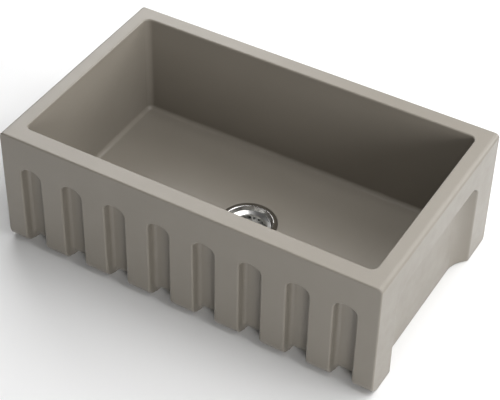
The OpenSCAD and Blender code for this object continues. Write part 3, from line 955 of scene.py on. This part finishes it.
def model_tailpiece(s):
    """The thin tube with its flange."""
    top, low = TAIL_HIGH.z, TAIL_LOW.z
    bore = s.tail_radius - s.tail_wall
    under = top - s.tail_flange_thickness
    outline = [
        (bore, top, s.tail_mouth, 3),
        (s.tail_flange, top, s.tail_edge, 3),
        (s.tail_flange, under, s.tail_edge, 3),
        (s.tail_radius, under, s.tail_edge, 3),
        (s.tail_radius, low, s.tail_end, 3),
        (bore, low, s.tail_end, 3),
    ]
    fit(turned("tail_tube", outline), "sink", "tailpiece", "plated_brass")


def model_coupling_nut(s):
    """The hexagonal nut, chamfered at both ends, with its lip and its thread."""
    low, high = COUPLING_LOW.z, COUPLING_HIGH.z
    side = s.coupling_flats / 2
    corner = side / math.cos(math.radians(30))
    middle = (0, 0, (low + high) / 2)
    nut = cylinder("coupling_hex", 6, corner, high - low, middle, (0, 0, math.radians(30)))
    face, past = side - s.coupling_chamfer, corner + s.cone_reach
    rise = (past - face) * math.tan(math.radians(30))
    cones = [(0, low), (face, low), (past, low + rise), (past, high - rise), (face, high), (0, high)]
    cut(nut, turned("chamfers", cones), "INTERSECT")
    seat = low + s.coupling_lip
    hollow = [
        (0, high + REACH),
        (s.coupling_bore, high + REACH),
        *threaded(s, s.coupling_bore, high - s.coupling_thread_start, seat + s.thread_end, False),
        (s.coupling_bore, seat),
        (s.coupling_hole, seat),
        (s.coupling_hole, low - REACH),
        (0, low - REACH),
    ]
    cut(nut, turned("coupling_hollow", hollow))
    upright = lambda e: along(e, 2) and all(radius_of(v) > side for v in e.verts)
    round_edges(nut, upright, s.coupling_corner, 3)
    round_ring(nut, s.coupling_hole, low, s.coupling_edge)
    round_ring(nut, s.coupling_bore, high, s.coupling_edge)
    face_outwards(nut)
    fit(nut, "sink", "coupling_nut", "plated_brass")


class SINK_OT_outlet(bpy.types.Operator):
    """Turn the outlet and the tailpiece, and model the coupling nut between them"""

    bl_idname = "sink.outlet"
    bl_label = "Outlet and tailpiece"

    def execute(self, context):
        for model in (model_outlet, model_tailpiece, model_coupling_nut):
            model(context.scene.sink_waste_sizes)
        return {"FINISHED"}


def wall_pin(s, height, angle):
    """A pin that cuts one hole through the basket's wall."""
    start = s.wall_pin_start
    middle = (start + s.rim_radius) / 2
    spot = (middle * math.cos(angle), middle * math.sin(angle), height)
    turn = (0, math.radians(90), angle)
    return cylinder("wall_pin", 20, s.wall_hole_radius, s.rim_radius - start, spot, turn)


def floor_pin(s, radius, angle):
    """A pin that cuts one hole through the basket's bottom."""
    spot = (radius * math.cos(angle), radius * math.sin(angle), BASKET_LOW.z)
    return cylinder("floor_pin", 20, s.floor_hole_radius, 6 * s.sheet, spot, (0, 0, angle))


def model_basket(s):
    """The perforated cup with its rim."""
    low, high = BASKET_LOW.z, BASKET_HIGH.z
    floor, rim_under = low + s.sheet, high - s.sheet
    outline = [
        (s.rim_radius, rim_under, s.rim_edge, 3),
        (s.rim_radius, high, s.rim_edge, 3),
        (s.mouth_radius, high - s.rim_fall, s.mouth_round, 5),
        (s.bottom_radius, floor, s.bottom_cove, 5),
        (s.collar_radius, floor),
        (s.collar_radius, low),
        (s.bottom_radius + s.sheet, low, s.bottom_heel, 5),
        (s.mouth_radius + s.sheet, rim_under - s.rim_fall, s.mouth_heel, 4),
    ]
    basket = turned("basket", outline, 132)
    pins = []
    for row, depth in enumerate((s.wall_row_high, s.wall_row_low)):
        for number in range(s.wall_holes):
            pins.append(wall_pin(s, rim_under - depth, (number + row / 2) * math.tau / s.wall_holes))
    for count, radius in ((s.floor_holes, s.floor_ring), (s.floor_holes_inner, s.floor_ring_inner)):
        for number in range(count):
            pins.append(floor_pin(s, radius, number * math.tau / count))
    cut(basket, joined(pins))
    face_outwards(basket)
    fit(basket, "basket", "basket_cup", "polished_steel")


def model_collar(s):
    """The collar in the basket's middle, with the groove that holds the detent ring."""
    low, high = BASKET_LOW.z, COLLAR_TOP
    floor = low + s.sheet
    outline = [
        (s.guide_radius, low),
        (s.collar_radius - s.play, low),
        (s.collar_radius - s.play, floor),
        (s.collar_flange, floor, s.collar_foot, 2),
        (s.collar_flange, floor + s.sheet, s.collar_edge, 3),
        (s.collar_radius, floor + s.sheet, s.collar_round, 4),
        (s.collar_radius, high, s.collar_round, 4),
        (s.guide_radius, high, s.guide_edge, 2),
        (s.guide_radius, s.clip_height + s.clip_half),
        (s.clip_groove, s.clip_height + s.clip_half),
        (s.clip_groove, s.clip_height - s.clip_half),
        (s.guide_radius, s.clip_height - s.clip_half),
    ]
    fit(turned("collar", outline, 64), "basket", "basket_collar", "polished_steel")


class SINK_OT_basket(bpy.types.Operator):
    """Model the perforated basket and the collar that guides the stem"""

    bl_idname = "sink.basket"
    bl_label = "Basket"

    def execute(self, context):
        for model in (model_basket, model_collar):
            model(context.scene.sink_basket_sizes)
        return {"FINISHED"}


def groove(s, height, steps=8):
    """Outline points of a round groove in the stem, from its top to its bottom."""
    reach = math.acos((s.groove_line - s.stem_radius) / s.stem_groove)
    angles = [reach * (2 * number / steps - 1) for number in range(steps + 1)]
    return [
        (s.groove_line - s.stem_groove * math.cos(angle), height - s.stem_groove * math.sin(angle))
        for angle in angles
    ]


def model_stem(s):
    """The stem with its two grooves and its threaded foot."""
    top, low = STEM_HIGH.z, STEM_LOW.z
    thread_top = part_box("stem_nut")[0].z + s.thread_rise
    outline = [
        (0, top),
        (s.stem_radius, top, s.stem_edge, 2),
        *groove(s, s.clip_height),
        *groove(s, s.clip_height - s.travel),
        *threaded(s, s.stem_radius, thread_top, low + s.thread_pitch),
        (s.stem_radius, low, s.stem_foot, 3),
        (0, low),
    ]
    fit(turned("stem_rod", outline, 48), "stopper", "stem", "polished_steel")


def model_knob(s):
    """The knob with its neck and the bore that takes the stem."""
    low, high = KNOB_LOW.z, KNOB_HIGH.z
    bore = s.stem_radius + s.play
    outline = [
        (0, high - s.knob_dish),
        (s.knob_dish_radius, high, s.knob_round, 4),
        (s.knob_radius, high, s.knob_shoulder, 6),
        (s.knob_radius, low + s.neck_height, s.knob_under, 6),
        (s.knob_neck, low + s.neck_height, s.knob_round, 4),
        (s.knob_neck, low, s.neck_edge, 2),
        (bore, low),
        (bore, low + s.knob_bore),
        (0, low + s.knob_bore),
    ]
    fit(turned("knob_head", outline, 64), "stopper", "knob", "polished_steel")


def model_rubber(s):
    """The rubber stopper."""
    low, high = STOPPER_LOW.z, STOPPER_HIGH.z
    bore = s.stem_radius + s.play
    outline = [
        (bore, low),
        (s.stopper_radius - s.stopper_chamfer, low, s.stopper_edge, 3),
        (s.stopper_radius, low + s.stopper_chamfer, s.stopper_edge, 3),
        (s.stopper_radius, high, s.stopper_round, 4),
        (bore, high),
    ]
    fit(turned("stopper_disc", outline), "stopper", "stopper_seal", "rubber", "black_rubber")


def model_plate(s):
    """The plate above the rubber."""
    low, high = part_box("stopper_plate")
    bore = s.stem_radius + s.play
    outline = [
        (bore, low.z),
        (high.x, low.z, s.plate_foot, 2),
        (high.x, high.z, s.plate_edge, 3),
        (bore, high.z),
    ]
    fit(turned("plate_disc", outline), "stopper", "stopper_plate", "steel", "turned_steel")


class SINK_OT_stopper(bpy.types.Operator):
    """Turn the stem, knob and rubber stopper"""

    bl_idname = "sink.stopper"
    bl_label = "Stopper"

    def execute(self, context):
        for model in (model_stem, model_knob, model_rubber, model_plate):
            model(context.scene.sink_basket_sizes)
        return {"FINISHED"}


class SINK_OT_finishes(bpy.types.Operator):
    """Give the solids that stay as they are their finishes"""

    bl_idname = "sink.finishes"
    bl_label = "Finishes of the plain pieces"

    def execute(self, context):
        finishes = {
            "flange_seal": "black_rubber",
            "tail_washer": "black_rubber",
            "friction_ring": "pressed_fibre",
            "outlet_cross": "turned_steel",
            "detent_ring": "drawn_steel",
            "stem_washer": "turned_steel",
            "stem_nut": "drawn_steel",
        }
        for node, finish in finishes.items():
            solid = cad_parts[node]
            if not solid.material_slots:
                solid.data.materials.append(finish_named(finish))
            for slot in solid.material_slots:
                slot.material = finish_named(finish)
        return {"FINISHED"}


# Each light has its angle from the front, its height in degrees, its distance and its size.
LIGHTS = {
    "key": (92, 41, 6, 3.6),
    "rim_light": (138, 20, 5, 1.6),
    "back_left": (-136, 33, 3, 1.9),
    "back_right": (165, 50, 3, 1.8),
    "top": (90, 70, 1.4, 0.8),
    "front_right": (46, 14, 5, 1.6),
    "front_left": (-12, 10, 4, 1.6),
}


def soft_box(name, power, aim, side, height, distance, size):
    """A large soft square light that points at the sink."""
    turn = Matrix.Rotation(math.radians(side), 3, "Z")
    away = turn @ Vector((0, -math.cos(math.radians(height)), math.sin(math.radians(height))))
    light = bpy.data.lights.new(name, "AREA")
    light.size = size
    light.energy = power
    lamp = bpy.data.objects.new(name, light)
    bpy.context.scene.collection.objects.link(lamp)
    lamp.location = Vector((0, 0, aim)) + distance * away
    lamp.rotation_euler = away.to_track_quat("Z", "Y").to_euler()


def lay_floor(s, tone):
    """The pale studio floor, just under the sink."""
    bpy.ops.mesh.primitive_plane_add(size=s.floor_size, location=(0, 0, -s.floor_gap))
    floor = bpy.context.object
    floor.name = "floor"
    material, tree, shader, point = surface("studio_floor", tone, 0, 0.8)
    feed(tree, shader, {"Base Color": mixed(tree, cloud(tree, point, 3, 2), shaded(tone, 0.985), tone)})
    floor.data.materials.append(material)


def light_room(sky):
    """A world that is white to the camera and gives only a faint even light."""
    world = bpy.data.worlds.new("room")
    world.use_nodes = True
    tree = world.node_tree
    seen = tree.nodes.new("ShaderNodeLightPath").outputs["Is Camera Ray"]
    strength = added(tree, "ShaderNodeMath", {0: seen, 1: 1 - sky, 2: sky}, operation="MULTIPLY_ADD")
    feed(tree, tree.nodes["Background"], {"Color": (1, 1, 1, 1), "Strength": strength.outputs[0]})
    bpy.context.scene.world = world


def place_camera(s):
    """The camera at the photograph's place and angle."""
    camera_data = bpy.data.cameras.new("camera")
    camera_data.lens = s.lens
    camera_data.sensor_width = 36
    camera_data.sensor_fit = "HORIZONTAL"
    camera_data.shift_x = s.shift_x
    camera_data.shift_y = s.shift_y
    camera_data.clip_end = 100
    camera = bpy.data.objects.new("camera", camera_data)
    bpy.context.scene.collection.objects.link(camera)
    look = (Vector(s.camera) - Vector(s.target)).to_track_quat("Z", "Y").to_matrix().to_4x4()
    camera.matrix_world = Matrix.Translation(Vector(s.camera)) @ look @ Matrix.Rotation(s.roll, 4, "Z")
    bpy.context.scene.camera = camera


class SINK_OT_stage(bpy.types.Operator):
    """Set the pale floor, the soft light and the camera"""

    bl_idname = "sink.stage"
    bl_label = "Stage"

    def execute(self, context):
        scene = context.scene
        settings = scene.sink_stage
        clear_selection()
        lay_floor(settings, scene.sink_finishes.floor)
        light_room(settings.sky)
        scene.view_settings.view_transform = "Standard"
        for name, placing in LIGHTS.items():
            soft_box(name, getattr(settings, name), settings.aim, *placing)
        place_camera(settings)
        return {"FINISHED"}


class SINK_PT_panel(bpy.types.Panel):
    """The sink's steps and sizes in the sidebar"""

    bl_idname = "SINK_PT_panel"
    bl_label = "Farmhouse sink"
    bl_space_type = "VIEW_3D"
    bl_region_type = "UI"
    bl_category = "Sink"

    def draw(self, context):
        for step in STEPS:
            self.layout.operator(step.bl_idname)
        for group, title in GROUPS:
            box = self.layout.box()
            box.label(text=title)
            settings = getattr(context.scene, group)
            for name in settings.__annotations__:
                box.prop(settings, name, text=name.replace("_", " ").capitalize())


STEPS = (
    SINK_OT_basin,
    SINK_OT_strainer,
    SINK_OT_clamping,
    SINK_OT_outlet,
    SINK_OT_basket,
    SINK_OT_stopper,
    SINK_OT_finishes,
    SINK_OT_stage,
)
GROUPS = (
    ("sink_basin_sizes", "Basin"),
    ("sink_waste_sizes", "Waste"),
    ("sink_basket_sizes", "Basket"),
    ("sink_finishes", "Finishes"),
    ("sink_stage", "Stage"),
)
SETTINGS = (BasinSizes, WasteSizes, BasketSizes, Finishes, StageSettings)


def register():
    """Adds the settings, the steps and the panel."""
    for kind in (*SETTINGS, *STEPS, SINK_PT_panel):
        bpy.utils.register_class(kind)
    for (name, _), kind in zip(GROUPS, SETTINGS):
        setattr(bpy.types.Scene, name, PointerProperty(type=kind))


def unregister():
    """Takes them away again."""
    for name, _ in GROUPS:
        delattr(bpy.types.Scene, name)
    for kind in reversed((*SETTINGS, *STEPS, SINK_PT_panel)):
        bpy.utils.unregister_class(kind)


def main():
    """Builds the whole sink and its stage."""
    register()
    bpy.ops.sink.basin()
    bpy.ops.sink.strainer()
    bpy.ops.sink.clamping()
    bpy.ops.sink.outlet()
    bpy.ops.sink.basket()
    bpy.ops.sink.stopper()
    bpy.ops.sink.finishes()
    bpy.ops.sink.stage()


if __name__ == "__main__":
    main()
